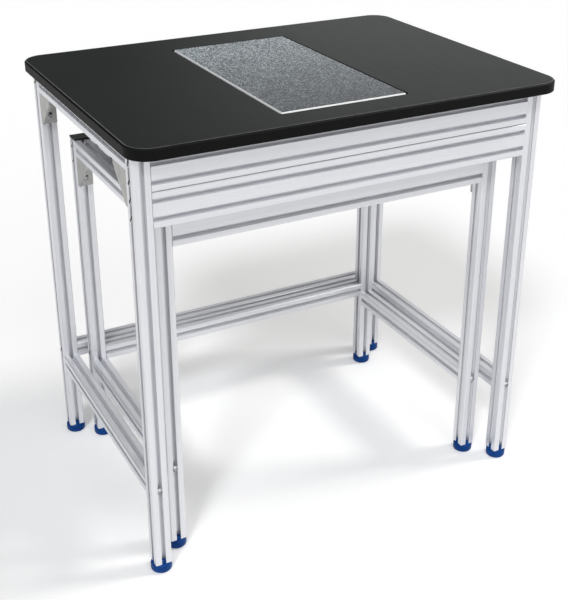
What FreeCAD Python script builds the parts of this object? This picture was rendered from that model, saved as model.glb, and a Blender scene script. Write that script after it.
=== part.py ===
"""Anti-vibration weighing table.

Two frames of slotted aluminium profile stand one inside the other and never touch.
The outer frame carries the worktop, and the inner frame carries a stone slab that comes
up through a cut-out in the worktop. The operator leans on the worktop, and the balance
stands on the slab. The origin is on the floor under the centre of the worktop, +Z is up
and the operator stands at -Y.
"""

import FreeCAD, Part
import os

import Sketcher
from FreeCAD import Placement, Rotation, Vector

DOC = FreeCAD.newDocument("weighing_table")
SHEET = DOC.addObject("Spreadsheet::Sheet", "Sizes")

# Driving sizes in millimetres: name, value, what it measures.
SIZES = (
    ("top_width", 800.0, "worktop, left to right"),
    ("top_depth", 600.0, "worktop, front to back"),
    ("top_thickness", 20.0, "worktop plate"),
    ("top_height", 800.0, "floor to the top of the worktop"),
    ("top_corner", 40.0, "radius of the worktop's corners"),
    ("top_arris", 2.5, "bevel along the worktop's upper edge"),
    ("top_lower_arris", 1.5, "bevel along the worktop's lower edge"),
    ("cutout_corner", 6.0, "radius in the corners of the cut-out"),
    ("slab_width", 237.0, "stone slab, left to right"),
    ("slab_thickness", 62.0, "stone slab"),
    ("slab_proud", 1.0, "slab surface above the worktop"),
    ("slab_joint", 3.5, "open joint between the slab and the worktop"),
    ("slab_corner", 4.0, "radius of the slab's upright corners"),
    ("slab_bevel", 2.0, "polished bevel round the slab's upper edge"),
    ("slab_front_room", 2.0, "slab to the outer frame's apron"),
    ("slab_rear_room", 11.0, "slab to the outer frame's rear rail"),
    ("profile", 30.0, "side of the square profile"),
    ("profile_corner", 1.5, "broken edge along the profile's outer corners"),
    ("slot_opening", 8.2, "mouth of the T-slot"),
    ("slot_lip", 2.0, "thickness of the lips beside the mouth"),
    ("slot_chamber", 16.4, "widest part of the T-slot"),
    ("slot_chamber_side", 2.6, "straight side of the chamber"),
    ("slot_depth", 9.0, "face to the floor of the slot"),
    ("slot_floor", 7.4, "width of the slot's floor"),
    ("profile_web", 2.5, "outer wall beside the hollow chamber of a double bar"),
    ("chamber_height", 8.0, "hollow chamber between the two squares of a double bar"),
    ("core_bore", 6.8, "bore along the core of a leg, tapped at the ends"),
    ("overhang_left", 10.0, "worktop beyond the outer frame at the left"),
    ("overhang_right", 21.0, "worktop beyond the outer frame at the right"),
    ("overhang_front", 31.0, "worktop beyond the outer frame at the front"),
    ("overhang_rear", 47.0, "worktop beyond the outer frame at the rear"),
    ("frame_gap", 18.0, "free gap between the frames at the front and the sides"),
    ("frame_gap_rear", 9.0, "free gap between the frames at the rear"),
    ("inner_drop", 120.0, "underside of the worktop to the top of the inner frame"),
    ("side_stretcher_height", 173.0, "floor to the middle of the side stretchers"),
    ("rear_stretcher_height", 196.0, "floor to the middle of the rear stretchers"),
    ("bearer_inset", 48.0, "slab's side to the middle of a bearer"),
    ("damper_length", 60.0, "damping pad under the slab, along the bearer"),
    ("damper_inset", 50.0, "slab's end to the middle of a damping pad"),
    ("damper_edge", 1.5, "bevel of a damping pad's upright edges"),
    ("cap_thickness", 3.0, "end cap on an inner leg"),
    ("cap_edge", 0.8, "bevel of the end cap"),
    ("gusset_arm", 60.0, "arm of the corner bracket"),
    ("gusset_width", 28.0, "width of the corner bracket"),
    ("gusset_plate", 5.0, "flange of the corner bracket"),
    ("gusset_cheek", 4.0, "cheek of the corner bracket"),
    ("gusset_tip", 8.0, "blunt end of the cheek"),
    ("gusset_hole", 8.6, "screw hole in a flange"),
    ("gusset_hole_reach", 45.0, "corner to the middle of the screw hole"),
    ("foot_height", 18.0, "floor to the end of a leg"),
    ("foot_diameter", 38.0, "disc of the levelling foot"),
    ("foot_key_room", 0.4, "free room round a key in the leg's slot"),
    ("foot_key_height", 7.0, "height of a key in the leg's slot"),
    ("foot_key_depth", 6.0, "depth of a key into the leg's slot"),
    ("spindle_room", 0.2, "free room round the spindle in the core bore"),
    ("spindle_reach", 40.0, "length of the spindle inside the leg"),
)

for row, (name, value, note) in enumerate(SIZES, start=1):
    SHEET.set(f"A{row}", name)
    SHEET.set(f"B{row}", str(value))
    SHEET.set(f"C{row}", note)
    SHEET.setAlias(f"B{row}", name)
DOC.recompute()


class Size:
    """A length that knows both its value and the expression that drives it."""

    def __init__(self, text, value):
        self.text = text
        self.value = value

    @staticmethod
    def of(other):
        """Take a plain number as a size."""
        return other if isinstance(other, Size) else Size(repr(float(other)), float(other))

    def __add__(self, other):
        other = Size.of(other)
        return Size(f"({self.text} + {other.text})", self.value + other.value)

    def __radd__(self, other):
        return Size.of(other) + self

    def __sub__(self, other):
        other = Size.of(other)
        return Size(f"({self.text} - {other.text})", self.value - other.value)

    def __rsub__(self, other):
        return Size.of(other) - self

    def __mul__(self, factor):
        return Size(f"({self.text} * {float(factor)})", self.value * factor)

    def __rmul__(self, factor):
        return self * factor

    def __truediv__(self, factor):
        return Size(f"({self.text} / {float(factor)})", self.value / factor)

    def __neg__(self):
        return self * -1


class Cells:
    """The sheet's cells, each as a Size under its own name."""


D = Cells()
for name, value, _ in SIZES:
    setattr(D, name, Size(f"Sizes.{name}", float(SHEET.get(name))))

NODES = []
ZERO = Size.of(0.0)

# Ways to lay a piece that is drawn upright, with its length along its own Z.
UPRIGHT = Rotation()
ALONG_X = Rotation(Vector(1, 1, 1), 120)
ALONG_Y = Rotation(Vector(0, 1, 1), 180)


def bind(thing, prop, size):
    """Set a property and tie it to the sheet."""
    size = Size.of(size)
    thing.setExpression(prop, size.text)


def place(thing, x, y, z, rotation=UPRIGHT):
    """Turn a piece and tie its position to the sheet."""
    thing.Placement = Placement(Vector(0, 0, 0), rotation)
    bind(thing, "Placement.Base.x", x)
    bind(thing, "Placement.Base.y", y)
    bind(thing, "Placement.Base.z", z)


def new_body(label):
    """Start a piece that is kept under the given label."""
    body = DOC.addObject("PartDesign::Body", label)
    body.Label = label
    NODES.append(body)
    return body


def origin_feature(body, role):
    """Find one of a body's own origin planes or axes."""
    return next(item for item in body.Origin.OriginFeatures if item.Role == role)


def new_sketch(body, name, role="XY_Plane", offset=None):
    """Put an empty sketch on an origin plane of the body, lifted by the offset."""
    sketch = body.newObject("Sketcher::SketchObject", name)
    sketch.AttachmentSupport = (origin_feature(body, role), [""])
    sketch.MapMode = "FlatFace"
    if offset is not None:
        bind(sketch, "AttachmentOffset.Base.z", offset)
    return sketch


def pin_point(sketch, geo, end, x, y):
    """Hold one point of a sketch at sizes measured from the sketch's origin."""
    for axis, size, line in (("X", Size.of(x), -2), ("Y", Size.of(y), -1)):
        if size.text == ZERO.text:
            sketch.addConstraint(Sketcher.Constraint("PointOnObject", geo, end, line))
            continue
        rule = Sketcher.Constraint(f"Distance{axis}", -1, 1, geo, end, size.value)
        index = sketch.addConstraint(rule)
        label = f"{axis.lower()}_{geo}_{end}"
        sketch.renameConstraint(index, label)
        sketch.setExpression(f"Constraints.{label}", size.text)


def draw_outline(sketch, corners):
    """Draw a closed outline of straight lines through the given corners."""
    corners = [(Size.of(x), Size.of(y)) for x, y in corners]
    first = sketch.GeometryCount
    count = len(corners)
    for i, (x, y) in enumerate(corners):
        nx, ny = corners[(i + 1) % count]
        start = Vector(x.value, y.value, 0)
        end = Vector(nx.value, ny.value, 0)
        sketch.addGeometry(Part.LineSegment(start, end), False)
    for i in range(count):
        after = first + (i + 1) % count
        sketch.addConstraint(Sketcher.Constraint("Coincident", first + i, 2, after, 1))
    for i, (x, y) in enumerate(corners):
        pin_point(sketch, first + i, 1, x, y)


def draw_rectangle(sketch, x0, y0, x1, y1):
    """Draw a rectangle between two opposite corners."""
    draw_outline(sketch, ((x0, y0), (x1, y0), (x1, y1), (x0, y1)))


def draw_circle(sketch, x, y, diameter):
    """Draw a circle, with its centre and its diameter tied to the sheet."""
    x, y, diameter = Size.of(x), Size.of(y), Size.of(diameter)
    centre = Vector(x.value, y.value, 0)
    geo = sketch.addGeometry(Part.Circle(centre, Vector(0, 0, 1), diameter.value / 2), False)
    pin_point(sketch, geo, 3, x, y)
    index = sketch.addConstraint(Sketcher.Constraint("Diameter", geo, diameter.value))
    sketch.renameConstraint(index, f"diameter_{geo}")
    sketch.setExpression(f"Constraints.diameter_{geo}", diameter.text)


def add_pad(body, name, sketch, length, symmetric=False):
    """Raise a sketch into a solid."""
    pad = body.newObject("PartDesign::Pad", name)
    pad.Profile = sketch
    if symmetric:
        pad.SideType = "Symmetric"
    bind(pad, "Length", length)
    return pad


def add_pocket(body, name, sketch, reverse=True):
    """Cut a sketch right through the solid."""
    pocket = body.newObject("PartDesign::Pocket", name)
    pocket.Profile = sketch
    pocket.Reversed = reverse
    pocket.Type = "ThroughAll"
    return pocket


def add_turns(body, name, features, count):
    """Repeat features round the body's own Z axis."""
    pattern = body.newObject("PartDesign::PolarPattern", name)
    pattern.Originals = features
    pattern.Axis = (origin_feature(body, "Z_Axis"), [""])
    pattern.Angle = 360.0
    pattern.Occurrences = count
    body.Tip = pattern
    return pattern


def pick_edges(feature, test):
    """Name the straight edges of a feature whose two ends both pass the test."""
    picked = []
    for index, edge in enumerate(feature.Shape.Edges, start=1):
        if all(test(vertex.Point) for vertex in edge.Vertexes) and len(edge.Vertexes) == 2:
            picked.append(f"Edge{index}")
    return picked


def add_edge_feature(body, kind, name, feature, edges, size):
    """Round or bevel the named edges of a feature."""
    dressed = body.newObject(f"PartDesign::{kind}", name)
    dressed.Base = (feature, edges)
    bind(dressed, "Radius" if kind == "Fillet" else "Size", size)
    return dressed


def slot_corners(across, face):
    """Give the corners of one T-slot that opens upwards at the given face."""
    mouth = D.slot_opening / 2
    chamber = D.slot_chamber / 2
    floor = D.slot_floor / 2
    shoulder = face - D.slot_lip
    elbow = shoulder - D.slot_chamber_side
    bottom = face - D.slot_depth
    right = (
        (mouth, face),
        (mouth, shoulder),
        (chamber, shoulder),
        (chamber, elbow),
        (floor, bottom),
    )
    left = [(-x, y) for x, y in reversed(right)]
    return [(across + x, y) for x, y in (*right, *left)]


def make_profile(label, length, rows=1, bored=False):
    """Make a length of slotted profile: one square, or two squares fused into one bar.

    The bar stands upright. Its section is one square wide along X and as many squares
    tall along Y as there are rows. A leg is bored along its core for the foot's spindle.
    """
    body = new_body(label)
    half = D.profile / 2
    rise = half * rows
    outline = new_sketch(body, "outline")
    draw_rectangle(outline, -half, -rise, half, rise)
    bar = add_pad(body, "bar", outline, length)
    DOC.recompute()

    def on_corner(point):
        return abs(abs(point.x) - half.value) < 0.01 and abs(abs(point.y) - rise.value) < 0.01

    edges = [
        name
        for name in pick_edges(bar, on_corner)
        if bar.Shape.getElement(name).Length > length.value - 0.01
    ]
    add_edge_feature(body, "Chamfer", "broken_edges", bar, edges, D.profile_corner)

    end_slots = new_sketch(body, "end_slot")
    draw_outline(end_slots, slot_corners(ZERO, rise))
    end_cut = add_pocket(body, "end_slot_cut", end_slots)
    if rows == 1:
        add_turns(body, "slots", [end_cut], 4)
    else:
        side_slots = new_sketch(body, "side_slot")
        for middle in (-half, half):
            draw_outline(side_slots, [(y, middle + x) for x, y in slot_corners(ZERO, half)])
        side_cut = add_pocket(body, "side_slot_cut", side_slots)
        add_turns(body, "slots", [end_cut, side_cut], 2)
        chamber = new_sketch(body, "chamber")
        wide = half - D.profile_web
        draw_rectangle(chamber, -wide, -D.chamber_height / 2, wide, D.chamber_height / 2)
        add_pocket(body, "chamber_cut", chamber)
    if bored:
        bore = new_sketch(body, "core")
        draw_circle(bore, ZERO, ZERO, D.core_bore)
        add_pocket(body, "core_bore", bore)
    return body


half_profile = D.profile / 2


class Frame:
    """A frame's outer faces on the floor plan, its top, and what follows from them."""

    def __init__(self, name, left, right, front, rear, top):
        self.name = name
        self.left = left
        self.right = right
        self.front = front
        self.rear = rear
        self.top = top
        self.width = right - left
        self.depth = rear - front
        self.middle = (left + right) / 2

    def axis_x(self, side):
        """Middle of the legs at the left (-1) or the right (1)."""
        return self.left + half_profile if side < 0 else self.right - half_profile

    def axis_y(self, end):
        """Middle of the legs at the front (-1) or the rear (1)."""
        return self.front + half_profile if end < 0 else self.rear - half_profile


# The frames lie a little off the middle of the worktop.
top_underside = D.top_height - D.top_thickness
outer = Frame(
    "outer",
    D.overhang_left - D.top_width / 2,
    D.top_width / 2 - D.overhang_right,
    D.overhang_front - D.top_depth / 2,
    D.top_depth / 2 - D.overhang_rear,
    top_underside,
)
frame_step = D.profile + D.frame_gap
inner = Frame(
    "inner",
    outer.left + frame_step,
    outer.right - frame_step,
    outer.front + frame_step,
    outer.rear - D.profile - D.frame_gap_rear,
    top_underside - D.inner_drop,
)

# The slab lies between the apron and the rear rail, and clears them both.
slab_front = outer.front + D.profile + D.slab_front_room
slab_rear = outer.rear - D.profile - D.slab_rear_room
slab_depth = slab_rear - slab_front
slab_x = outer.middle
slab_y = (slab_front + slab_rear) / 2
slab_underside = D.top_height + D.slab_proud - D.slab_thickness
bearer_top = inner.top + D.profile * 2


def make_leg(label, x, y, top):
    """Stand a leg on its foot."""
    leg = make_profile(label, top - D.foot_height, bored=True)
    place(leg, x, y, D.foot_height)


def make_cross_rail(label, frame, y, z, rows=1):
    """Lay a rail from left to right between two legs, with its middle at y and z."""
    rail = make_profile(label, frame.width - D.profile * 2, rows)
    place(rail, frame.left + D.profile, y, z, ALONG_X)


def make_side_rail(label, frame, x, z):
    """Lay a rail from front to back between two legs, with its middle at x and z."""
    rail = make_profile(label, frame.depth - D.profile * 2)
    place(rail, x, frame.front + D.profile, z, ALONG_Y)


def make_gusset(label, x, y, z, facing, side):
    """Make a corner bracket under a side rail.

    One flange lies against the leg, and the other lies under the rail. A cheek joins them
    on the side that faces out of the table. The bracket is drawn in the YZ plane with its
    corner at the origin.
    """
    body = new_body(label)
    arm = D.gusset_arm
    plate = D.gusset_plate
    tip = D.gusset_tip
    angle = new_sketch(body, "flange_outline", "YZ_Plane")
    draw_outline(
        angle, ((0, 0), (0, -arm), (plate, -arm), (plate, -plate), (arm, -plate), (arm, 0))
    )
    add_pad(body, "flanges", angle, D.gusset_width, symmetric=True)

    outward = side * facing
    near = -D.gusset_width / 2 if outward < 0 else D.gusset_width / 2 - D.gusset_cheek
    cheek = new_sketch(body, "cheek_outline", "YZ_Plane", near)
    draw_outline(cheek, ((0, 0), (0, -arm), (tip, -arm), (arm, -tip), (arm, 0)))
    add_pad(body, "cheek", cheek, D.gusset_cheek)

    leg_hole = new_sketch(body, "leg_hole", "XZ_Plane")
    draw_circle(leg_hole, ZERO, -D.gusset_hole_reach, D.gusset_hole)
    add_pocket(body, "leg_hole_cut", leg_hole, reverse=False)
    rail_hole = new_sketch(body, "rail_hole", "XY_Plane")
    draw_circle(rail_hole, ZERO, D.gusset_hole_reach, D.gusset_hole)
    add_pocket(body, "rail_hole_cut", rail_hole, reverse=False)
    turn = UPRIGHT if facing > 0 else Rotation(Vector(0, 0, 1), 180)
    place(body, x, y, z, turn)


def make_foot(label, x, y):
    """Make a levelling foot: disc, spindle and the keys in the leg's slots."""
    body = new_body(label)
    stem = D.core_bore / 2 - D.spindle_room
    section = new_sketch(body, "section", "XZ_Plane")
    draw_outline(
        section,
        (
            (ZERO, ZERO),
            (D.foot_diameter / 2, ZERO),
            (D.foot_diameter / 2, D.foot_height),
            (stem, D.foot_height),
            (stem, D.foot_height + D.spindle_reach),
            (ZERO, D.foot_height + D.spindle_reach),
        ),
    )
    disc = body.newObject("PartDesign::Revolution", "disc")
    disc.Profile = section
    disc.ReferenceAxis = (section, ["V_Axis"])
    disc.Angle = 360.0
    key_sketch = new_sketch(body, "key", offset=D.foot_height)
    outside = half_profile - D.foot_key_room
    half_key = D.slot_opening / 2 - D.foot_key_room
    draw_rectangle(key_sketch, outside - D.foot_key_depth, -half_key, outside, half_key)
    key = add_pad(body, "key_block", key_sketch, D.foot_key_height)
    add_turns(body, "keys", [key], 4)
    place(body, x, y, ZERO)


def make_cap(label, x, y):
    """Make the flat cap on the open end of an inner leg."""
    body = new_body(label)
    outline = new_sketch(body, "outline")
    draw_rectangle(outline, -half_profile, -half_profile, half_profile, half_profile)
    plate = add_pad(body, "plate", outline, D.cap_thickness)
    DOC.recompute()
    high = D.cap_thickness.value
    edges = pick_edges(plate, lambda point: abs(point.z - high) < 0.01)
    add_edge_feature(body, "Chamfer", "bevel", plate, edges, D.cap_edge)
    place(body, x, y, inner.top)


def pick_uprights(feature, height):
    """Name the edges of a plate that run straight up through its whole height."""
    return [
        name
        for name in pick_edges(feature, lambda point: True)
        if abs(feature.Shape.getElement(name).tangentAt(0).z) > 0.9
        and abs(feature.Shape.getElement(name).Length - height.value) < 0.01
    ]


def make_worktop():
    """Make the worktop plate with its rounded corners and the cut-out for the slab."""
    body = new_body("worktop")
    half_x = D.top_width / 2
    half_y = D.top_depth / 2
    outline = new_sketch(body, "outline")
    draw_rectangle(outline, -half_x, -half_y, half_x, half_y)
    plate = add_pad(body, "plate", outline, D.top_thickness)
    DOC.recompute()
    edges = pick_uprights(plate, D.top_thickness)
    rounded = add_edge_feature(body, "Fillet", "corners", plate, edges, D.top_corner)
    DOC.recompute()
    high = D.top_thickness.value
    upper = pick_edges(rounded, lambda point: abs(point.z - high) < 0.01)
    eased = add_edge_feature(body, "Chamfer", "upper_arris", rounded, upper, D.top_arris)
    DOC.recompute()
    lower = pick_edges(eased, lambda point: abs(point.z) < 0.01)
    add_edge_feature(body, "Chamfer", "lower_arris", eased, lower, D.top_lower_arris)

    opening = new_sketch(body, "cutout_outline")
    room_x = D.slab_width / 2 + D.slab_joint
    room_y = slab_depth / 2 + D.slab_joint
    draw_rectangle(opening, slab_x - room_x, slab_y - room_y, slab_x + room_x, slab_y + room_y)
    cut = add_pocket(body, "cutout", opening)
    DOC.recompute()
    edges = pick_uprights(cut, D.top_thickness)
    add_edge_feature(body, "Fillet", "cutout_corners", cut, edges, D.cutout_corner)
    place(body, ZERO, ZERO, top_underside)


def make_slab():
    """Make the stone slab with its rounded corners and polished bevel."""
    body = new_body("weighing_slab")
    half_x = D.slab_width / 2
    half_y = slab_depth / 2
    outline = new_sketch(body, "outline")
    draw_rectangle(outline, -half_x, -half_y, half_x, half_y)
    block = add_pad(body, "block", outline, D.slab_thickness)
    DOC.recompute()
    edges = pick_uprights(block, D.slab_thickness)
    rounded = add_edge_feature(body, "Fillet", "corners", block, edges, D.slab_corner)
    DOC.recompute()
    high = D.slab_thickness.value
    edges = pick_edges(rounded, lambda point: abs(point.z - high) < 0.01)
    add_edge_feature(body, "Chamfer", "bevel", rounded, edges, D.slab_bevel)
    place(body, slab_x, slab_y, slab_underside)


def make_damper(label, x, y):
    """Make a damping pad as wide as the bearer, from the bearer up to the slab."""
    body = new_body(label)
    half_y = D.damper_length / 2
    outline = new_sketch(body, "outline")
    draw_rectangle(outline, -half_profile, -half_y, half_profile, half_y)
    height = slab_underside - bearer_top
    block = add_pad(body, "block", outline, height)
    DOC.recompute()
    edges = pick_uprights(block, height)
    add_edge_feature(body, "Chamfer", "bevel", block, edges, D.damper_edge)
    place(body, x, y, bearer_top)


LEFT, RIGHT = ("left", -1), ("right", 1)
FRONT, REAR = ("front", -1), ("rear", 1)
FRAMES = (outer, inner)

# Legs and feet of both frames, and the caps that close the open ends of the inner legs.
for frame in FRAMES:
    for end_name, end in (FRONT, REAR):
        for side_name, side in (LEFT, RIGHT):
            corner = f"{end_name}_{side_name}"
            x, y = frame.axis_x(side), frame.axis_y(end)
            make_leg(f"{frame.name}_leg_{corner}", x, y, frame.top)
            make_foot(f"{frame.name}_foot_{corner}", x, y)
            if frame is inner:
                make_cap(f"end_cap_{corner}", x, y)

# Rails at the top of the outer frame. The apron at the front is two double bars high.
make_cross_rail("apron_rail_upper", outer, outer.axis_y(-1), outer.top - D.profile, 2)
make_cross_rail("apron_rail_lower", outer, outer.axis_y(-1), outer.top - D.profile * 3, 2)
make_cross_rail("outer_rear_rail", outer, outer.axis_y(1), outer.top - half_profile)

# Rails at the top of the inner frame: double bars at the front and the rear.
make_cross_rail("inner_front_rail", inner, inner.axis_y(-1), inner.top - D.profile, 2)
make_cross_rail("inner_rear_rail", inner, inner.axis_y(1), inner.top - D.profile, 2)

# On each frame: side rails at the top with a bracket under both ends, and stretchers near
# the floor on three sides, so that the front stays open.
for frame in FRAMES:
    name = f"{frame.name}_rear_stretcher"
    make_cross_rail(name, frame, frame.axis_y(1), D.rear_stretcher_height)
    for side_name, side in (LEFT, RIGHT):
        x = frame.axis_x(side)
        make_side_rail(f"{frame.name}_side_rail_{side_name}", frame, x, frame.top - half_profile)
        name = f"{frame.name}_side_stretcher_{side_name}"
        make_side_rail(name, frame, x, D.side_stretcher_height)
        for end_name, end in (FRONT, REAR):
            leg_face = frame.axis_y(end) - half_profile * end
            name = f"{frame.name}_gusset_{end_name}_{side_name}"
            make_gusset(name, x, leg_face, frame.top - D.profile, -end, side)

# Two bearers lie across the inner frame, and the slab rests on them through damping pads.
for side_name, side in (LEFT, RIGHT):
    x = slab_x + (D.slab_width / 2 - D.bearer_inset) * side
    bearer = make_profile(f"slab_bearer_{side_name}", inner.depth, 2)
    place(bearer, x, inner.front, inner.top + D.profile, ALONG_Y)
    for end_name, end in (FRONT, REAR):
        y = slab_y + (slab_depth / 2 - D.damper_inset) * end
        make_damper(f"damping_pad_{end_name}_{side_name}", x, y)

make_worktop()
make_slab()

DOC.recompute()

faults = [
    f"{item.Label}: {state}"
    for item in DOC.Objects
    for state in item.State
    if state in ("Invalid", "Error")
]
for node in NODES:
    shape = node.Shape
    if shape.isNull() or not shape.isValid() or len(shape.Solids) != 1:
        faults.append(f"{node.Label}: not one valid solid")
if faults:
    raise RuntimeError("; ".join(faults))

os.makedirs("parts", exist_ok=True)
for node in NODES:
    node.Shape.exportStep(f"parts/{node.Label}.step")
print(f"{len(NODES)} pieces written")
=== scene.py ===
"""Dresses the anti-vibration weighing table for its portrait.

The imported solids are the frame: worktop, granite slab, both aluminium frames, gussets and feet.
This script gives every solid its finish, moulds the rims of the feet, adds the fastening screws,
and sets floor, light and view. All lengths are metres in the table's own frame: +Z up, the
operator's side at -Y.
"""

import logging
import math
from dataclasses import dataclass, field
from enum import Enum

import bpy
from mathutils import Matrix, Vector


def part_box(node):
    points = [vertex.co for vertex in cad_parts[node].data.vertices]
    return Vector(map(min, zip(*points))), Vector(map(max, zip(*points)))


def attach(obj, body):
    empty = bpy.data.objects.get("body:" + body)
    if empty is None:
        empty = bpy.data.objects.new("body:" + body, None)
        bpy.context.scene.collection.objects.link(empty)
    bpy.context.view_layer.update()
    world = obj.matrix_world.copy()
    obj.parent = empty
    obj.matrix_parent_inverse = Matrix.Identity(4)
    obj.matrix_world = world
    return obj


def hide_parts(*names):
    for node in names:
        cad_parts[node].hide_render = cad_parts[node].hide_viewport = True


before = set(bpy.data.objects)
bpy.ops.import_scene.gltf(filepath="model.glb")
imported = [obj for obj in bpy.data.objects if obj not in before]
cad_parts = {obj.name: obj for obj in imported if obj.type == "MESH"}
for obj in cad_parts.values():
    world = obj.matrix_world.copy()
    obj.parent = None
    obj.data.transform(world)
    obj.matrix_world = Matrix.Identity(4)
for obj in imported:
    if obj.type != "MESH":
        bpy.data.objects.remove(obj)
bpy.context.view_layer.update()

LOG = logging.getLogger("weighing_table")

Triple = tuple[float, float, float]
Colour = Triple
Reach = tuple[float, float]
Stops = tuple[tuple[float, Colour], ...]
Shell = tuple[list[Vector], list[list[int]]]
Inputs = dict[str | int, object]
Socket = bpy.types.NodeSocket

WHITE: Colour = (1.0, 1.0, 1.0)
ROOT = "root"
RINGS = ("outer", "inner")
ENDS = ("front", "rear")
SIDES = ("left", "right")
BARS = ("rail", "stretcher")
CORNERS = tuple((end, side) for end in ENDS for side in SIDES)


class Run(Enum):
    """A direction of the table, numbered as its axis: the way that a bar runs or a face looks."""

    ACROSS = 0
    DEEP = 1
    UPRIGHT = 2


class Face(Enum):
    """The way that a screw's head looks."""

    LEFT = (-1.0, 0.0, 0.0)
    RIGHT = (1.0, 0.0, 0.0)
    FRONT = (0.0, -1.0, 0.0)
    REAR = (0.0, 1.0, 0.0)
    DOWN = (0.0, 0.0, -1.0)


class Nodes:
    """A node tree, with short calls for the nodes that every kind of tree has."""

    def __init__(self, tree: bpy.types.NodeTree) -> None:
        """Takes the tree that the nodes go into."""
        self.tree = tree

    def feed(self, source: object, target: Socket) -> None:
        """Links an output to an input, or sets the input's own value.

        Args:
            source: the output, or the value that the input gets.
            target: the input.
        """
        if isinstance(source, Socket):
            self.tree.links.new(source, target)
        elif target.type == "RGBA":
            target.default_value = (*source, 1.0)
        else:
            target.default_value = source

    def add(self, kind: str, inputs: Inputs | None = None, **settings: object) -> bpy.types.Node:
        """Adds a node.

        Args:
            kind: the node's type name.
            inputs: what feeds its inputs, by their names or places.
            settings: properties to set on it.

        Returns:
            The new node.
        """
        node = self.tree.nodes.new(kind)
        for key, value in settings.items():
            setattr(node, key, value)
        for place, source in (inputs or {}).items():
            self.feed(source, node.inputs[place])
        return node

    def maths(self, operation: str, first: Socket | float, second: Socket | float = 0.0) -> Socket:
        """Does a sum on one or two values and gives its result."""
        node = self.add("ShaderNodeMath", {0: first, 1: second}, operation=operation)
        return node.outputs["Value"]

    def weigh(self, first: Socket, second: Socket, share: float) -> Socket:
        """Adds two values, the first by its share and the second by the rest."""
        rest = self.maths("MULTIPLY", second, 1.0 - share)
        return self.maths("ADD", self.maths("MULTIPLY", first, share), rest)

    def span(self, value: Socket, reach: Reach, result: Reach = (0.0, 1.0)) -> Socket:
        """Maps a value from one range to another and clamps it.

        Args:
            value: the value.
            reach: start and end of its range.
            result: what the start and the end become.

        Returns:
            The mapped value.
        """
        inputs = {"Value": value, "From Min": reach[0], "From Max": reach[1]}
        inputs |= {"To Min": result[0], "To Max": result[1]}
        return self.add("ShaderNodeMapRange", inputs).outputs["Result"]

    def part(self, vector: Socket, axis: Run) -> Socket:
        """Takes a vector's part along one axis."""
        return self.add("ShaderNodeSeparateXYZ", {"Vector": vector}).outputs[axis.value]

    def upright(self, length: Socket) -> Socket:
        """Makes a vector that has only an upright part."""
        return self.add("ShaderNodeCombineXYZ", {"Z": length}).outputs["Vector"]


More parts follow.
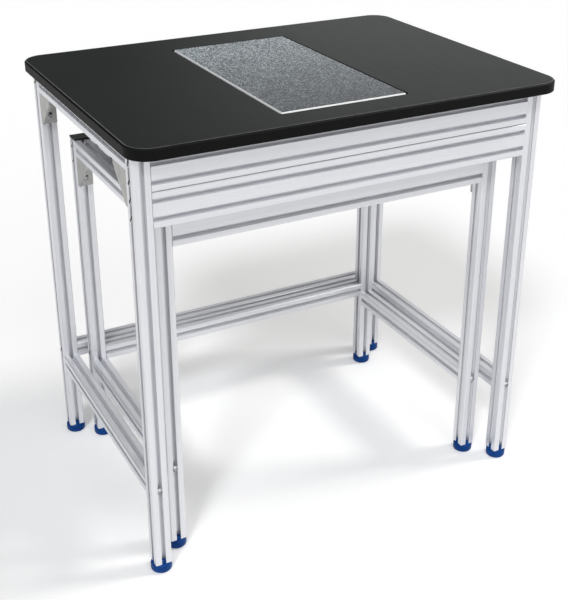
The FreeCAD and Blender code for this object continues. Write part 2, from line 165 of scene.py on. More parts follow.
class Graph(Nodes):
    """A material's node tree, with short calls for the textures and mixes of the finishes."""

    def __init__(self, name: str) -> None:
        """Starts a material with one principled shader.

        Args:
            name: the material's name.
        """
        self.material = bpy.data.materials.new(name)
        self.material.use_nodes = True
        super().__init__(self.material.node_tree)
        self.shader = self.tree.nodes["Principled BSDF"]
        self.object_space = self.add("ShaderNodeTexCoord").outputs["Object"]
        self.normal = self.add("ShaderNodeNewGeometry").outputs["Normal"]

    def stretched(self, scale: Triple) -> Socket:
        """Scales the object's coordinates unevenly, so that a texture runs in streaks."""
        node = self.add("ShaderNodeMapping", {"Vector": self.object_space, "Scale": scale})
        return node.outputs["Vector"]

    def noise(
        self, scale: float, detail: float, rough: float, vector: Socket | None = None
    ) -> Socket:
        """Adds a fractal noise.

        Args:
            scale: features per metre.
            detail: number of octaves.
            rough: how strong the fine octaves are.
            vector: the coordinates, or None for the object's own.

        Returns:
            The noise's value.
        """
        inputs = {"Vector": vector or self.object_space, "Scale": scale}
        inputs |= {"Detail": detail, "Roughness": rough}
        return self.add("ShaderNodeTexNoise", inputs).outputs["Fac"]

    def cells(self, scale: float) -> Socket:
        """Adds crystal-like cells, so many per metre, and gives a random grey for each."""
        node = self.add("ShaderNodeTexVoronoi", {"Scale": scale, "Vector": self.object_space})
        return self.add("ShaderNodeSeparateColor", {"Color": node.outputs["Color"]}).outputs["Red"]

    def ramp(self, value: Socket, stops: Stops) -> Socket:
        """Turns a value into a colour.

        Args:
            value: the value from 0 to 1.
            stops: positions and their colours.

        Returns:
            The colour.
        """
        node = self.add("ShaderNodeValToRGB", {"Fac": value})
        elements = node.color_ramp.elements
        while len(elements) < len(stops):
            elements.new(1.0)
        for element, (place, colour) in zip(elements, stops):
            element.position = place
            element.color = (*colour, 1.0)
        return node.outputs["Color"]

    def blend(
        self, share: Socket | float, first: Socket, second: Socket | Colour, kind: str = "MIX"
    ) -> Socket:
        """Mixes two colours.

        Args:
            share: how much of the second shows.
            first: the colour at share 0.
            second: the colour at share 1.
            kind: how they mix.

        Returns:
            The mixed colour.
        """
        node = self.add("ShaderNodeMix", {"Factor": share}, data_type="RGBA", blend_type=kind)
        ends = {socket.identifier: socket for socket in (*node.inputs, *node.outputs)}
        self.feed(first, ends["A_Color"])
        self.feed(second, ends["B_Color"])
        return ends["Result_Color"]

    def along(self, axis: Run) -> Socket:
        """Gives how far along an axis a point lies, in metres."""
        return self.part(self.object_space, axis)

    def facing(self, axis: Run) -> Socket:
        """Gives how squarely a face looks along an axis, whichever way round."""
        return self.maths("ABSOLUTE", self.part(self.normal, axis))

    def bump(
        self, height: Socket, strength: float, depth: float, under: Socket | None = None
    ) -> Socket:
        """Adds relief.

        Args:
            height: the relief's height from 0 to 1.
            strength: share of the relief that shows.
            depth: height in metres.
            under: a coarser relief below this one.

        Returns:
            The bent normal.
        """
        inputs = {"Height": height, "Strength": strength, "Distance": depth}
        node = self.add("ShaderNodeBump", inputs)
        if under is not None:
            self.feed(under, node.inputs["Normal"])
        return node.outputs["Normal"]

    def finish(
        self,
        colour: Socket,
        rough: Socket,
        normal: Socket,
        metallic: float = 0.0,
        specular: float = 0.5,
    ) -> bpy.types.Material:
        """Joins the results to the shader.

        Args:
            colour: base colour.
            rough: roughness.
            normal: bent normal.
            metallic: 1 for bare metal.
            specular: strength of the mirror-like part.

        Returns:
            The finished material.
        """
        looks = {"Base Color": colour, "Roughness": rough, "Normal": normal}
        looks |= {"Metallic": metallic, "Specular IOR Level": specular}
        for label, source in looks.items():
            self.feed(source, self.shader.inputs[label])
        return self.material


@dataclass(frozen=True)
class LaminateFinish:
    """Compact laminate: satin face, grainy brown-black edge, and a painted highlight line along the
    arris.
    """

    name: str = "laminate"
    half_width: float = 0.4
    half_depth: float = 0.3
    corner: float = 0.04
    bevel: float = 0.0025
    line: float = 0.0019
    face: Colour = (0.0085, 0.0110, 0.0107)
    face_worn: Colour = (0.0125, 0.0155, 0.0150)
    edge: Colour = (0.0012, 0.0011, 0.0011)
    edge_grain: Colour = (0.0080, 0.0074, 0.0072)
    arris: Colour = (0.0015, 0.0015, 0.0015)
    # Colour of the painted highlight along the arris.
    painted_highlight: Colour = (0.170, 0.176, 0.170)
    pearl: float = 1400.0
    cloud: float = 5.0
    sawn: float = 420.0
    highlight_breakup: float = 55.0
    scuff: float = 90.0
    rough: Reach = (0.33, 0.37)
    edge_rougher: float = 0.18
    peel_depth: float = 0.00006
    grain_depth: float = 0.0002
    specular: float = 0.09

    def inset(self, g: Graph) -> Socket:
        """Measures how far a point lies inside the plate's rounded outline.

        Args:
            g: the material's graph.

        Returns:
            The distance in metres, larger towards the middle.
        """
        beyond = []
        for axis, half in ((Run.ACROSS, self.half_width), (Run.DEEP, self.half_depth)):
            out = g.maths("SUBTRACT", g.maths("ABSOLUTE", g.along(axis)), half - self.corner)
            beyond.append(g.maths("POWER", g.maths("MAXIMUM", out, 0.0), 2.0))
        return g.maths("SUBTRACT", self.corner, g.maths("SQRT", g.maths("ADD", *beyond)))

    def build(self) -> bpy.types.Material:
        """Makes the laminate.

        Returns:
            The material.
        """
        g = Graph(self.name)
        speck = g.noise(self.pearl, 2.0, 0.6)
        mottle = g.maths("MULTIPLY", speck, g.noise(self.cloud, 4.0, 0.6))
        top = g.ramp(mottle, ((0.12, self.face), (0.45, self.face_worn)))
        sawn = g.noise(self.sawn, 3.0, 0.7, g.stretched((1.0, 1.0, 2.2)))
        side = g.ramp(sawn, ((0.40, self.edge), (0.68, self.edge_grain)))
        level = g.facing(Run.UPRIGHT)
        rim = g.blend(g.span(level, (0.30, 0.45)), side, self.arris)
        # Painted highlight: a pale line on the top face just inside the rounded arris, broken up by
        # noise.
        highlight_band = g.span(self.inset(g), (self.bevel + self.line, self.bevel + self.line * 0.7))
        broken_highlight = g.span(g.noise(self.highlight_breakup, 4.0, 0.7), (0.35, 0.55), (0.45, 1.0))
        face = g.blend(g.maths("MULTIPLY", highlight_band, broken_highlight), top, self.painted_highlight)
        colour = g.blend(g.span(level, (0.90, 0.98)), rim, face)
        scuffs = g.noise(self.scuff, 5.0, 0.75, g.stretched((1.0, 0.12, 1.0)))
        satin = g.span(scuffs, (0.3, 0.7), self.rough)
        rough = g.maths("ADD", satin, g.span(level, (0.5, 1.0), (self.edge_rougher, 0.0)))
        grain = g.bump(sawn, 0.05, self.grain_depth, g.bump(speck, 0.10, self.peel_depth))
        return g.finish(colour, rough, grain, specular=self.specular)


@dataclass(frozen=True)
class GraniteFinish:
    """Speckled grey granite: mineral cells of several greys, honed top, a painted highlight on the
    side faces near the top, and a painted reflection lighter towards the rear.
    """

    name: str = "granite"
    crystal: float = 620.0
    finer: float = 2.1
    coarse_share: float = 0.72
    grains: Stops = (
        (0.0, (0.006, 0.007, 0.008)),
        (0.22, (0.024, 0.027, 0.031)),
        (0.46, (0.072, 0.080, 0.090)),
        (0.68, (0.190, 0.205, 0.220)),
        (0.86, (0.500, 0.510, 0.510)),
    )
    drift: float = 14.0
    veil: Stops = ((0.3, (0.80, 0.81, 0.82)), (0.7, WHITE))
    half_depth: float = 0.2
    # Painted reflection: colour factors that make the stone lighter from front to rear.
    painted_reflection_ramp: Stops = ((0.0, (0.60, 0.64, 0.66)), (1.0, (1.80, 1.92, 1.95)))
    # Painted highlight: side faces above this height take the near-white arris colours below.
    highlight_from: float = 0.785
    highlight_fade: float = 0.003
    arris: Stops = ((0.0, (0.80, 0.80, 0.80)), (0.3, (0.94, 0.95, 0.95)))
    rough: Reach = (0.36, 0.50)
    pit_depth: float = 0.00012
    specular: float = 0.42

    def build(self) -> bpy.types.Material:
        """Makes the granite.

        Returns:
            The material.
        """
        g = Graph(self.name)
        coarse = g.cells(self.crystal)
        fine = g.cells(self.crystal * self.finer)
        mixed = g.weigh(coarse, fine, self.coarse_share)
        minerals = g.ramp(g.span(mixed, (0.12, 0.88)), self.grains)
        stone = g.blend(1.0, minerals, g.ramp(g.noise(self.drift, 3.0, 0.6), self.veil), "MULTIPLY")
        # Painted reflection: the stone grows lighter towards the rear.
        rearward = g.span(g.along(Run.DEEP), (-self.half_depth, self.half_depth))
        stone = g.blend(1.0, stone, g.ramp(rearward, self.painted_reflection_ramp), "MULTIPLY")
        # Painted highlight: the side faces near the top turn near-white.
        upper = g.span(g.along(Run.UPRIGHT), (self.highlight_from, self.highlight_from + self.highlight_fade))
        arris_highlight = g.maths("MULTIPLY", upper, g.span(g.facing(Run.UPRIGHT), (0.85, 0.95), (1.0, 0.0)))
        colour = g.blend(arris_highlight, stone, g.ramp(fine, self.arris))
        rough = g.span(coarse, (0.0, 1.0), self.rough)
        return g.finish(colour, rough, g.bump(fine, 0.12, self.pit_depth), specular=self.specular)


@dataclass(frozen=True)
class AnodisedFinish:
    """Natural anodised extrusion: fine drawing lines along the bar, clouded sheen and light rubs.

    The bars that run across also have a painted shade line where the two apron rails meet.
    """

    run: Run
    light: Colour = (0.830, 0.835, 0.862)
    dull: Colour = (0.755, 0.762, 0.795)
    rub: Colour = (0.65, 0.655, 0.68)
    cloud: float = 18.0
    seam_height: float = 0.720
    seam_half: float = 0.0006
    # Colour of the painted shade in the joint.
    seam_shade: Colour = (0.16, 0.165, 0.175)
    seam_share: float = 0.75
    rough: Reach = (0.30, 0.38)
    line_rougher: float = 0.08
    line_depth: float = 0.00005
    metallic: float = 0.55

    @property
    def name(self) -> str:
        """The material's name, with the bar's direction."""
        return f"anodised_{self.run.name.lower()}"

    def drawn(self, g: Graph, across: float, along: float, detail: float, rough: float) -> Socket:
        """Adds a noise that is drawn out along the bar.

        Args:
            g: the material's graph.
            across: features per metre across the bar.
            along: features per metre along it.
            detail: number of octaves.
            rough: how strong the fine octaves are.

        Returns:
            The noise's value.
        """
        scale = [across, across, across]
        scale[self.run.value] = along
        return g.noise(1.0, detail, rough, g.stretched((scale[0], scale[1], scale[2])))

    def build(self) -> bpy.types.Material:
        """Makes the anodised aluminium.

        Returns:
            The material.
        """
        g = Graph(self.name)
        lines = self.drawn(g, 1500.0, 6.0, 2.0, 0.6)
        bands = self.drawn(g, 160.0, 1.5, 2.0, 0.5)
        rubs = self.drawn(g, 70.0, 18.0, 6.0, 0.8)
        cloud = g.noise(self.cloud, 3.0, 0.6)
        metal = g.ramp(g.weigh(lines, bands, 0.45), ((0.36, self.dull), (0.62, self.light)))
        wear = g.ramp(cloud, ((0.3, self.rub), (0.7, self.dull)))
        colour = g.blend(g.span(rubs, (0.66, 0.80), (0.0, 0.35)), metal, wear)
        if self.run is Run.ACROSS:
            # Painted shade: a dark line along the joint where the two apron rails meet.
            off = g.maths("ABSOLUTE", g.maths("SUBTRACT", g.along(Run.UPRIGHT), self.seam_height))
            painted_joint_shade = g.span(off, (self.seam_half, self.seam_half * 1.5), (self.seam_share, 0.0))
            colour = g.blend(painted_joint_shade, colour, self.seam_shade)
        sheen = g.span(cloud, (0.3, 0.7), self.rough)
        rough = g.maths("ADD", sheen, g.maths("MULTIPLY", lines, self.line_rougher))
        return g.finish(colour, rough, g.bump(lines, 0.12, self.line_depth), metallic=self.metallic)


@dataclass(frozen=True)
class CastFinish:
    """Blasted die-cast aluminium: even matt grey with fine pores."""

    name: str = "cast_bracket"
    light: Colour = (0.56, 0.56, 0.54)
    dark: Colour = (0.40, 0.40, 0.385)
    blast: float = 1800.0
    flow: float = 60.0
    rough: Reach = (0.46, 0.58)
    pore_depth: float = 0.00012
    metallic: float = 0.75

    def build(self) -> bpy.types.Material:
        """Makes the casting.

        Returns:
            The material.
        """
        g = Graph(self.name)
        blast = g.noise(self.blast, 3.0, 0.7)
        flow = g.noise(self.flow, 4.0, 0.6)
        colour = g.ramp(g.weigh(blast, flow, 0.4), ((0.38, self.dark), (0.62, self.light)))
        rough = g.span(flow, (0.3, 0.7), self.rough)
        return g.finish(colour, rough, g.bump(blast, 0.25, self.pore_depth), metallic=self.metallic)


@dataclass(frozen=True)
class MouldedFinish:
    """Moulded plastic or rubber: one colour with faint clouds, eroded grain and soft scuffs."""

    name: str
    colour: Colour
    scuffed: Colour
    gloss: float
    grain: float = 1600.0
    depth: float = 0.00006
    specular: float = 0.5
    cloud: float = 45.0
    scuff_rougher: float = 0.14
    grain_rougher: float = 0.05

    def build(self) -> bpy.types.Material:
        """Makes the plastic.

        Returns:
            The material.
        """
        g = Graph(self.name)
        spark = g.noise(self.grain, 2.0, 0.6)
        cloud = g.noise(self.cloud, 5.0, 0.7)
        colour = g.ramp(cloud, ((0.38, self.colour), (0.78, self.scuffed)))
        scuffs = g.span(cloud, (0.3, 0.8), (self.gloss, self.gloss + self.scuff_rougher))
        rough = g.maths("ADD", scuffs, g.maths("MULTIPLY", spark, self.grain_rougher))
        return g.finish(colour, rough, g.bump(spark, 0.2, self.depth), specular=self.specular)


@dataclass(frozen=True)
class ScrewFinish:
    """Bright zinc-plated steel with turning marks."""

    name: str = "screw_steel"
    light: Colour = (0.56, 0.56, 0.57)
    dark: Colour = (0.26, 0.26, 0.27)
    cloud: float = 500.0
    marks: float = 2600.0
    rough: Reach = (0.16, 0.28)
    mark_depth: float = 0.00004

    def build(self) -> bpy.types.Material:
        """Makes the plated steel.

        Returns:
            The material.
        """
        g = Graph(self.name)
        cloud = g.noise(self.cloud, 3.0, 0.6)
        colour = g.ramp(cloud, ((0.35, self.dark), (0.65, self.light)))
        relief = g.bump(g.noise(self.marks, 2.0, 0.5), 0.1, self.mark_depth)
        return g.finish(colour, g.span(cloud, (0.3, 0.7), self.rough), relief, metallic=1.0)


def dress(node: str, material: bpy.types.Material) -> None:
    """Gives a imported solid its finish.

    Args:
        node: the solid's name.
        material: its finish.
    """
    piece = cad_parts[node]
    piece.data.materials.clear()
    piece.data.materials.append(material)
    for face in piece.data.polygons:
        face.material_index = 0
    LOG.info("dressed %s with %s", node, material.name)


@dataclass
class WeighingTop:
    """The worktop and the granite slab that stands free in its cut-out."""

    laminate: LaminateFinish = LaminateFinish()
    granite: GraniteFinish = GraniteFinish()

    def build(self) -> None:
        """Dresses both plates."""
        dress("worktop", self.laminate.build())
        dress("weighing_slab", self.granite.build())


@dataclass
class ProfileFrames:
    """Both aluminium frames: legs, rails, stretchers and the bearers under the slab."""

    slot: str = "anodised_profile"

    def bars(self) -> dict[Run, list[str]]:
        """Sorts the bars by the direction they run.

        Returns:
            Node names for each direction.
        """
        across = ["apron_rail_upper", "apron_rail_lower", "inner_front_rail"]
        across += [f"{ring}_rear_{bar}" for ring in RINGS for bar in BARS]
        deep = [f"slab_bearer_{side}" for side in SIDES]
        deep += [f"{ring}_side_{bar}_{side}" for ring in RINGS for side in SIDES for bar in BARS]
        upright = [f"{ring}_leg_{end}_{side}" for ring in RINGS for end, side in CORNERS]
        return {Run.ACROSS: across, Run.DEEP: deep, Run.UPRIGHT: upright}

    def build(self) -> None:
        """Dresses every bar with lines along its own length."""
        for run, names in self.bars().items():
            material = AnodisedFinish(run).build()
            for name in names:
                dress(name, material)


@dataclass(frozen=True)
class LevellingFoot:
    """A moulded foot: flat base, bulging rim, dished top, spindle and keys in the leg's slots."""

    slot: str = "blue_plastic"
    rim_start: float = 0.80
    bulge_low: float = 0.0045
    bulge_high: float = 0.0055
    lip: float = 0.0006
    lip_drop: float = 0.0001
    dish: float = 0.0016
    dish_start: float = 0.0130
    rooted: float = 0.0005
    spindle: float = 0.0032
    spindle_sides: int = 24
    key_inner: float = 0.0086
    key_outer: float = 0.0146
    key_half: float = 0.0037
    key_height: float = 0.0070
    sides: int = 72
    steps: int = 9

    def section(self, radius: float, height: float) -> list[tuple[float, float]]:
        """Draws the rim's half section from the base outwards and up to the dish.

        Args:
            radius: the foot's radius.
            height: the height of its top under the leg.

        Returns:
            Radii and heights.
        """
        line = [(radius * self.rim_start, 0.0)]
        lower = radius * (1.0 - self.rim_start)
        for step in range(1, self.steps + 1):
            turn = math.pi / 2 * step / self.steps
            out = radius - lower * (1.0 - math.sin(turn))
            line.append((out, self.bulge_low * (1.0 - math.cos(turn))))
        for step in range(self.steps + 1):
            turn = math.pi / 2 * step / self.steps
            out = radius - self.bulge_high * (1.0 - math.cos(turn))
            line.append((out, height - self.bulge_high * (1.0 - math.sin(turn))))
        line.append((self.dish_start + self.lip, height - self.lip_drop))
        line.append((self.dish_start, height - self.dish))
        return line

    def turned(self, section: list[tuple[float, float]], sides: int) -> Shell:
        """Turns a half section about the axis and closes it at both ends.

        Args:
            section: radii and heights from bottom to top.
            sides: number of sides round the axis.

        Returns:
            Vertices and faces.
        """
        points, faces = [], []
        for radius, height in section:
            for side in range(sides):
                turn = 2.0 * math.pi * side / sides
                points.append(Vector((radius * math.cos(turn), radius * math.sin(turn), height)))
        top = (len(section) - 1) * sides
        for low in range(0, top, sides):
            high = low + sides
            for side in range(sides):
                beside = (side + 1) % sides
                faces.append([low + side, low + beside, high + beside, high + side])
        faces.append(list(reversed(range(sides))))
        faces.append(list(range(top, top + sides)))
        return points, faces

    def key(self, quarter: int, low: float, high: float) -> Shell:
        """Makes one of the four keys.

        Args:
            quarter: which slot it stands in.
            low: height of its bottom.
            high: height of its top.

        Returns:
            Vertices and faces.
        """
        turn = Matrix.Rotation(math.pi / 2 * quarter, 3, "Z")
        inner, outer, half = self.key_inner, self.key_outer, self.key_half
        corners = ((inner, -half), (outer, -half), (outer, half), (inner, half))
        points = [turn @ Vector((x, y, z)) for z in (low, high) for x, y in corners]
        faces = [[0, 3, 2, 1], [4, 5, 6, 7], [0, 1, 5, 4], [1, 2, 6, 5], [2, 3, 7, 6], [3, 0, 4, 7]]
        return points, faces

    def build(self, node: str, finish: bpy.types.Material) -> None:
        """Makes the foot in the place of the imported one.

        Args:
            node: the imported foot's name.
            finish: its plastic.
        """
        low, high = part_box(node)
        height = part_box(node.replace("foot", "leg"))[0].z
        centre = Vector(((low.x + high.x) / 2, (low.y + high.y) / 2, 0.0))
        root = height - self.dish - self.rooted
        rim = self.turned(self.section((high.x - low.x) / 2, height), self.sides)
        stem = self.turned([(self.spindle, root), (self.spindle, high.z)], self.spindle_sides)
        keys = [self.key(quarter, root, height + self.key_height) for quarter in range(4)]
        points, faces = [], []
        for shell_points, shell_faces in (rim, stem, *keys):
            faces += [[len(points) + corner for corner in face] for face in shell_faces]
            points += [tuple(point + centre) for point in shell_points]
        mesh = bpy.data.meshes.new(f"turned_{node}")
        mesh.from_pydata(points, [], faces)
        flat_ends = 2
        for face in mesh.polygons:
            face.use_smooth = face.index < len(rim[1]) - flat_ends
        mesh.materials.append(finish)
        piece = bpy.data.objects.new(f"turned_{node}", mesh)
        bpy.context.scene.collection.objects.link(piece)
        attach(piece, ROOT)
        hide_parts(node)
        LOG.info("turned %s, %d faces", node, len(faces))


@dataclass
class Fittings:
    """Gussets, levelling feet, end caps and damping pads."""

    casting: CastFinish = CastFinish()
    shape: LevellingFoot = LevellingFoot()
    foot: MouldedFinish = MouldedFinish(
        "blue_plastic", (0.0, 0.040, 0.195), (0.001, 0.066, 0.280), gloss=0.30, specular=0.14
    )
    cap: MouldedFinish = MouldedFinish(
        "black_plastic", (0.012, 0.012, 0.012), (0.03, 0.03, 0.03), gloss=0.42
    )
    rubber: MouldedFinish = MouldedFinish(
        "rubber", (0.016, 0.016, 0.016), (0.04, 0.04, 0.038), gloss=0.68, grain=900.0, depth=0.00015
    )

    def build(self) -> None:
        """Dresses every fitting."""
        finishes = (self.casting, self.foot, self.cap, self.rubber)
        casting, foot, cap, rubber = (finish.build() for finish in finishes)
        for end, side in CORNERS:
            for ring in RINGS:
                dress(f"{ring}_gusset_{end}_{side}", casting)
                dress(f"{ring}_foot_{end}_{side}", foot)
                self.shape.build(f"{ring}_foot_{end}_{side}", foot)
            dress(f"end_cap_{end}_{side}", cap)
            dress(f"damping_pad_{end}_{side}", rubber)


@dataclass(frozen=True)
class ScrewSize:
    """A button-head screw with a hexagon socket, in metres."""

    head: float = 0.0125
    rise: float = 0.0042
    key: float = 0.005
    key_depth: float = 0.0026
    sides: int = 28


@dataclass
class ScrewTree:
    """The node tree that sets one screw head on every point, turned to its own angle."""

    name: str = "button_head_screws"
    seed: int = 7
    rings: int = 4
    key_sides: int = 6
    domed: float = 0.72
    sockets: dict[str, str] = field(default_factory=dict)

    def interface(self, tree: bpy.types.GeometryNodeTree) -> None:
        """Names the tree's inputs.

        Args:
            tree: the new tree.
        """
        kinds = {"Points": "Geometry"}
        kinds |= dict.fromkeys(("Head Diameter", "Head Rise", "Key Width", "Key Depth"), "Float")
        kinds |= {"Head Sides": "Int", "Seed": "Int", "Finish": "Material"}
        new = tree.interface.new_socket
        for label, kind in kinds.items():
            socket = new(label, in_out="INPUT", socket_type=f"NodeSocket{kind}")
            self.sockets[label] = socket.identifier
        new("Screws", in_out="OUTPUT", socket_type="NodeSocketGeometry")

    def dome(self, g: Nodes, given: bpy.types.NodeOutputs) -> Socket:
        """Makes a head that stands on its seat, lower towards its rim.

        Args:
            g: the tree's nodes.
            given: the tree's inputs.

        Returns:
            The head.
        """
        rise = given["Head Rise"]
        radius = g.maths("MULTIPLY", given["Head Diameter"], 0.5)
        sizes = {"Vertices": given["Head Sides"], "Radius": radius, "Depth": rise}
        sizes["Fill Segments"] = self.rings
        disc = g.add("GeometryNodeMeshCylinder", sizes, fill_type="TRIANGLE_FAN")
        place = g.add("GeometryNodeInputPosition").outputs["Position"]
        x, y, z = (g.part(place, axis) for axis in Run)
        reach = g.maths("ADD", g.maths("POWER", x, 2.0), g.maths("POWER", y, 2.0))
        reach = g.maths("DIVIDE", reach, g.maths("POWER", radius, 2.0))
        drop = g.maths("MULTIPLY", g.maths("MULTIPLY", reach, rise), -self.domed)
        drop = g.maths("MULTIPLY", drop, g.maths("GREATER_THAN", z, 0.0))
        fall = g.upright(g.maths("ADD", drop, g.maths("MULTIPLY", rise, 0.5)))
        moved = {"Geometry": disc.outputs["Mesh"], "Offset": fall}
        return g.add("GeometryNodeSetPosition", moved).outputs["Geometry"]

    def recessed(self, g: Nodes, given: bpy.types.NodeOutputs, head: Socket) -> Socket:
        """Sinks the hexagon socket into a head.

        Args:
            g: the tree's nodes.
            given: the tree's inputs.
            head: the plain head.

        Returns:
            The head with its socket.
        """
        # From a hexagon's middle to a corner is its width across the flats over the root of three.
        corner = g.maths("DIVIDE", given["Key Width"], math.sqrt(3.0))
        depth = g.maths("MULTIPLY", given["Key Depth"], 2.0)
        sizes = {"Vertices": self.key_sides, "Radius": corner, "Depth": depth}
        key = g.add("GeometryNodeMeshCylinder", sizes).outputs["Mesh"]
        lifted = {"Geometry": key, "Translation": g.upright(given["Head Rise"])}
        raised = g.add("GeometryNodeTransform", lifted).outputs["Geometry"]
        pair = {"Mesh 1": head, "Mesh 2": raised}
        return g.add("GeometryNodeMeshBoolean", pair, operation="DIFFERENCE").outputs["Mesh"]

    def seated(self, g: Nodes, given: bpy.types.NodeOutputs, head: Socket) -> Socket:
        """Sets a head on every point, looking its own way and turned about it.

        Args:
            g: the tree's nodes.
            given: the tree's inputs.
            head: the finished head.

        Returns:
            The instances.
        """
        named = {"Name": "looks"}
        looks = g.add("GeometryNodeInputNamedAttribute", named, data_type="FLOAT_VECTOR")
        turn = g.add("FunctionNodeAlignRotationToVector", {"Vector": looks.outputs["Attribute"]})
        inputs = {"Points": given["Points"], "Instance": head, "Rotation": turn.outputs["Rotation"]}
        heads = g.add("GeometryNodeInstanceOnPoints", inputs).outputs["Instances"]
        # For a plain number, input 3 is the largest that may be drawn, and output 1 is the result.
        drawn = {3: math.pi, "Seed": given["Seed"]}
        angle = g.add("FunctionNodeRandomValue", drawn, data_type="FLOAT")
        spun = {"Instances": heads, "Rotation": g.upright(angle.outputs[1])}
        return g.add("GeometryNodeRotateInstances", spun).outputs["Instances"]

    def build(self) -> bpy.types.GeometryNodeTree:
        """Builds the tree.

        Returns:
            The tree, ready for a modifier.
        """
        tree = bpy.data.node_groups.new(self.name, "GeometryNodeTree")
        self.interface(tree)
        g = Nodes(tree)
        given = g.add("NodeGroupInput").outputs
        heads = self.seated(g, given, self.recessed(g, given, self.dome(g, given)))
        real = g.add("GeometryNodeRealizeInstances", {"Geometry": heads}).outputs["Geometry"]
        coat = g.add("GeometryNodeSetMaterial", {"Geometry": real, "Material": given["Finish"]})
        g.add("NodeGroupOutput", {"Screws": coat.outputs["Geometry"]})
        return tree


@dataclass
class ScrewSet:
    """A named group of screws of one size."""

    name: str
    size: ScrewSize
    seats: list[tuple[Vector, Face]] = field(default_factory=list)

    def add(self, place: Vector, face: Face, sunk: float = 0.0) -> None:
        """Adds a screw.

        Args:
            place: where the head meets the surface.
            face: the way that the head looks.
            sunk: how deep the head's seat lies below that surface.
        """
        self.seats.append((place - Vector(face.value) * sunk, face))

    def points(self) -> bpy.types.Object:
        """Makes a mesh with one point for each screw, and the way that it looks.

        Returns:
            The object with the points.
        """
        mesh = bpy.data.meshes.new(self.name)
        mesh.from_pydata([tuple(place) for place, _ in self.seats], [], [])
        looks = mesh.attributes.new("looks", "FLOAT_VECTOR", "POINT")
        for item, (_, face) in zip(looks.data, self.seats):
            item.vector = face.value
        piece = bpy.data.objects.new(self.name, mesh)
        bpy.context.scene.collection.objects.link(piece)
        return piece

    def build(
        self, tree: bpy.types.GeometryNodeTree, maker: ScrewTree, finish: bpy.types.Material
    ) -> None:
        """Runs the tree on the points and keeps the result as a plain mesh.

        Args:
            tree: the screws' node tree.
            maker: what names the tree's inputs.
            finish: the screws' material.
        """
        piece = self.points()
        modifier = piece.modifiers.new("screws", "NODES")
        modifier.node_group = tree
        values = {
            "Head Diameter": self.size.head,
            "Head Rise": self.size.rise,
            "Key Width": self.size.key,
            "Key Depth": self.size.key_depth,
            "Head Sides": self.size.sides,
            "Seed": maker.seed,
            "Finish": finish,
        }
        for label, value in values.items():
            modifier[maker.sockets[label]] = value
        piece.update_tag()
        graph = bpy.context.evaluated_depsgraph_get()
        made = bpy.data.meshes.new_from_object(piece.evaluated_get(graph))
        piece.modifiers.clear()
        piece.data = made
        made.name = self.name
        if not made.materials:
            made.materials.append(finish)
        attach(piece, ROOT)
        LOG.info("built %s: %d screws, %d faces", self.name, len(self.seats), len(made.polygons))


@dataclass
class Fasteners:
    """Every screw that shows: bar ends through the legs, and two in each gusset."""

    bar_screw: ScrewSize = ScrewSize()
    gusset_screw: ScrewSize = ScrewSize(rise=0.004, key_depth=0.0024)
    sunk: float = 0.0022
    plate: float = 0.005
    reach: float = 0.045

    def levels(self, ring: str, end: str) -> list[float]:
        """Gives the heights of the cross bars' cores at one leg.

        Args:
            ring: outer or inner frame.
            end: front or rear leg.

        Returns:
            One height for each core.
        """
        bars = {
            ("outer", "front"): ["apron_rail_upper", "apron_rail_lower"],
            ("outer", "rear"): ["outer_rear_rail", "outer_rear_stretcher"],
            ("inner", "front"): ["inner_front_rail"],
            ("inner", "rear"): ["inner_rear_rail", "inner_rear_stretcher"],
        }[ring, end]
        heights = []
        for bar in bars:
            low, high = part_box(bar)
            rows = max(1, round((high.z - low.z) / (high.y - low.y)))
            heights += [low.z + (high.z - low.z) * (row + 0.5) / rows for row in range(rows)]
        return heights

    def bar_screws(self) -> ScrewSet:
        """Finds the screws that hold the bars' ends to the legs.

        Returns:
            The set of them.
        """
        found = ScrewSet("bar_end_screws", self.bar_screw)
        for ring in RINGS:
            for end, side in CORNERS:
                low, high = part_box(f"{ring}_leg_{end}_{side}")
                middle = (low + high) / 2
                x, outward = (low.x, Face.LEFT) if side == "left" else (high.x, Face.RIGHT)
                y, away = (low.y, Face.FRONT) if end == "front" else (high.y, Face.REAR)
                for z in self.levels(ring, end):
                    found.add(Vector((x, middle.y, z)), outward, self.sunk)
                bar_low, bar_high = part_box(f"{ring}_side_stretcher_{side}")
                found.add(Vector((middle.x, y, (bar_low.z + bar_high.z) / 2)), away, self.sunk)
        return found

    def gusset_screws(self) -> ScrewSet:
        """Finds the two screws inside each gusset.

        Returns:
            The set of them.
        """
        found = ScrewSet("gusset_screws", self.gusset_screw)
        for ring in RINGS:
            for end, side in CORNERS:
                low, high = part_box(f"{ring}_gusset_{end}_{side}")
                x = (low.x + high.x) / 2
                leg_y, look = (low.y, Face.REAR) if end == "front" else (high.y, Face.FRONT)
                inward = look.value[1]
                found.add(Vector((x, leg_y + inward * self.plate, high.z - self.reach)), look)
                found.add(Vector((x, leg_y + inward * self.reach, high.z - self.plate)), Face.DOWN)
        return found

    def build(self) -> None:
        """Makes both sets of screws."""
        maker = ScrewTree()
        tree = maker.build()
        finish = ScrewFinish().build()
        for found in (self.bar_screws(), self.gusset_screws()):
            found.build(tree, maker, finish)


@dataclass(frozen=True)
class SoftSun:
    """A broad soft light far away, so that the floor is lit evenly."""

    name: str
    azimuth: float
    elevation: float
    spread: float
    strength: float
    colour: Colour

    def build(self) -> None:
        """Hangs the light at its angle."""
        data = bpy.data.lights.new(self.name, "SUN")
        data.energy = self.strength
        data.angle = math.radians(self.spread)
        data.color = self.colour
        piece = bpy.data.objects.new(self.name, data)
        around, up = math.radians(self.azimuth), math.radians(self.elevation)
        level = math.cos(up)
        source = Vector((math.sin(around) * level, -math.cos(around) * level, math.sin(up)))
        piece.matrix_world = (-source).to_track_quat("-Z", "Y").to_matrix().to_4x4()
        bpy.context.scene.collection.objects.link(piece)


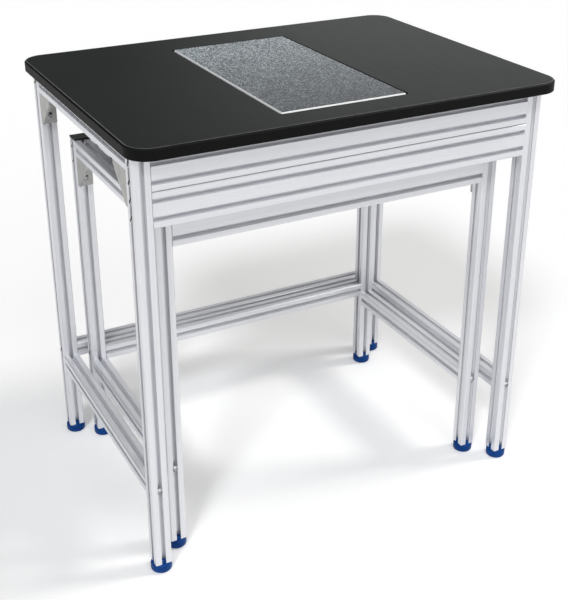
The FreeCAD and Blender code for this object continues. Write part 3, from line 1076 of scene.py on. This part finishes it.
@dataclass(frozen=True)
class Studio:
    """A white floor, three soft lights, and a surround that is white to the eye.

    In reflections the surround is dark behind the table, and white overhead, in front, at the
    right, and in a low band at the right.
    """

    floor_half: float = 9.0
    floor_white: Colour = (0.92, 0.92, 0.92)
    floor_rough: float = 0.9
    floor_lift: float = 0.22
    surround: float = 0.20
    dark: float = 0.05
    overhead: Reach = (0.30, 0.70)
    right: Reach = (0.45, 1.05)
    front: Reach = (0.50, -0.10)
    band_height: Reach = (0.35, 0.24)
    band_right: Reach = (0.32, 0.48)
    band: float = 0.90
    lights: tuple[SoftSun, ...] = (
        SoftSun("key", -43.0, 45.0, 12.0, 1.32, (0.965, 0.98, 1.0)),
        SoftSun("front", 2.0, 38.0, 40.0, 0.55, (0.975, 0.985, 1.0)),
        SoftSun("side", 76.0, 46.0, 13.0, 1.10, (1.0, 0.98, 0.95)),
    )

    def floor(self) -> None:
        """Lays the floor, which keeps the table's shadow and shows as white elsewhere."""
        half = self.floor_half
        mesh = bpy.data.meshes.new("floor")
        corners = [(-half, -half, 0.0), (half, -half, 0.0), (half, half, 0.0), (-half, half, 0.0)]
        mesh.from_pydata(corners, [], [(0, 1, 2, 3)])
        piece = bpy.data.objects.new("floor", mesh)
        bpy.context.scene.collection.objects.link(piece)
        g = Graph("floor_white")
        path = g.add("ShaderNodeLightPath").outputs
        seen = g.maths("MAXIMUM", path["Is Camera Ray"], path["Is Glossy Ray"])
        lift = g.maths("MULTIPLY", seen, self.floor_lift)
        looks = {"Base Color": self.floor_white, "Roughness": self.floor_rough}
        looks |= {"Specular IOR Level": 0.0, "Emission Color": WHITE, "Emission Strength": lift}
        for label, source in looks.items():
            g.feed(source, g.shader.inputs[label])
        mesh.materials.append(g.material)

    def world(self) -> None:
        """Sets the surround: plain white to the eye, shaped in reflections, dim as a light."""
        world = bpy.data.worlds.new("surround")
        bpy.context.scene.world = world
        world.use_nodes = True
        g = Nodes(world.node_tree)
        path = g.add("ShaderNodeLightPath").outputs
        direction = g.add("ShaderNodeTexCoord").outputs["Generated"]
        x, y, z = (g.part(direction, axis) for axis in Run)
        beside = g.span(x, self.band_right, (0.0, self.band))
        mirrored = g.maths("MULTIPLY", g.span(z, self.band_height), beside)
        for way, reach in ((z, self.overhead), (x, self.right), (y, self.front)):
            mirrored = g.maths("MAXIMUM", mirrored, g.span(way, reach, (self.dark, 1.0)))
        mirrored = g.maths("MULTIPLY", mirrored, path["Is Glossy Ray"])
        shown = g.maths("MAXIMUM", path["Is Camera Ray"], mirrored)
        direct = g.maths("MAXIMUM", path["Is Camera Ray"], path["Is Glossy Ray"])
        dim = g.maths("MULTIPLY", g.maths("SUBTRACT", 1.0, direct), self.surround)
        plain = world.node_tree.nodes["Background"]
        g.feed(g.maths("ADD", dim, shown), plain.inputs["Strength"])
        g.feed(WHITE, plain.inputs["Color"])

    def build(self) -> None:
        """Builds floor, surround and lights."""
        self.floor()
        self.world()
        for light in self.lights:
            light.build()
        LOG.info("set floor, surround and lights")


@dataclass(frozen=True)
class PortraitView:
    """The photograph's view, as an ordinary camera."""

    place: Triple = (-0.88438, -1.69618, 1.32367)
    yaw: float = 0.4826
    pitch: float = 0.4276
    focal_pixels: float = 1080.7
    lift: float = -0.1
    frame_width: int = 568
    frame_height: int = 600
    sensor: float = 36.0
    farthest: float = 60.0

    def build(self) -> None:
        """Makes the camera."""
        data = bpy.data.cameras.new("portrait")
        long_side = max(self.frame_width, self.frame_height)
        data.sensor_width = self.sensor
        data.lens = self.focal_pixels * self.sensor / long_side
        data.shift_y = self.lift * self.frame_width / long_side
        data.clip_end = self.farthest
        piece = bpy.data.objects.new("portrait", data)
        tilt = Matrix.Rotation(math.pi / 2 - self.pitch, 4, "X")
        turn = Matrix.Rotation(-self.yaw, 4, "Z") @ tilt
        piece.matrix_world = Matrix.Translation(Vector(self.place)) @ turn
        bpy.context.scene.collection.objects.link(piece)
        bpy.context.scene.camera = piece
        bpy.context.scene.view_settings.view_transform = "Standard"
        LOG.info("set the camera")


def main() -> None:
    """Builds every class in order."""
    logging.basicConfig(level=logging.INFO, format="%(name)s: %(message)s")
    WeighingTop().build()
    ProfileFrames().build()
    Fittings().build()
    Fasteners().build()
    Studio().build()
    PortraitView().build()


if __name__ == "__main__":
    main()
